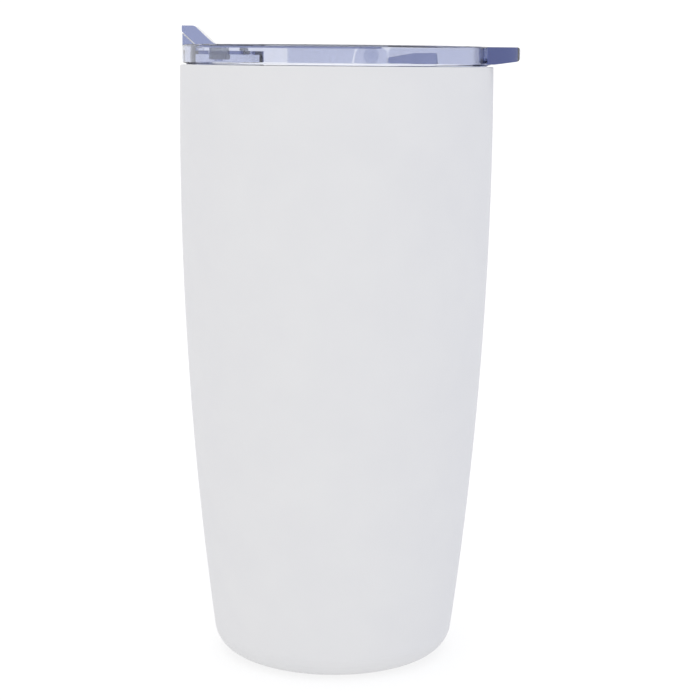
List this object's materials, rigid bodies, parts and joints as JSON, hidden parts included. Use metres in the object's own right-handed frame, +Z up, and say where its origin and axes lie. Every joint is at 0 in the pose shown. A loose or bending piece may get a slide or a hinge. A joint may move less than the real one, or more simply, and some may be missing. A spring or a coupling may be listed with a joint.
{
  "type": "insulated tumbler",
  "caption": "Vacuum-insulated steel tumbler with a white powder coat and a clear tinted push-in lid, which has a pull tab and a flip cap over its sip opening.",
  "frame": {"origin": "centre of the foot, on the surface that the tumbler stands on", "axes": "+Z up along the body's axis; -X is the drinking side, and the lid's pull tab is on +X"},
  "size_m": [0.096, 0.0892, 0.1818],
  "materials": {
    "powder_coat": "matte powder coat, near white, fine even texture",
    "steel": "satin, turned marks round the axis",
    "copper": "bright foil",
    "bead": "fused glass bead",
    "getter": "sintered, dull",
    "clear_plastic": "clear, tinted blue, polished",
    "silicone": "translucent silicone, satin"
  },
  "bodies": {
    "tumbler": {"outer_shell": "powder_coat", "inner_liner": "steel", "copper_foil": "copper", "vacuum_base": "steel", "port_seal": "bead", "getter": "getter", "getter_clip": "steel", "base_cover": "steel"},
    "lid": {"lid_base": "clear_plastic", "lid_gasket": "silicone"},
    "cap": {"flip_cap": "clear_plastic", "sip_seal": "silicone", "vent_seal": "silicone"}
  },
  "joints": [
    {"name": "lid_lift", "type": "slide", "parent": "tumbler", "child": "lid", "axis": [0, 0, 1], "range_m": [0, 0.04]},
    {"name": "cap_flip", "type": "hinge", "parent": "lid", "child": "cap", "pos_m": [0.0097, 0, 0.1739], "axis": [0, 1, 0], "range_deg": [0, 105]}
  ]
}
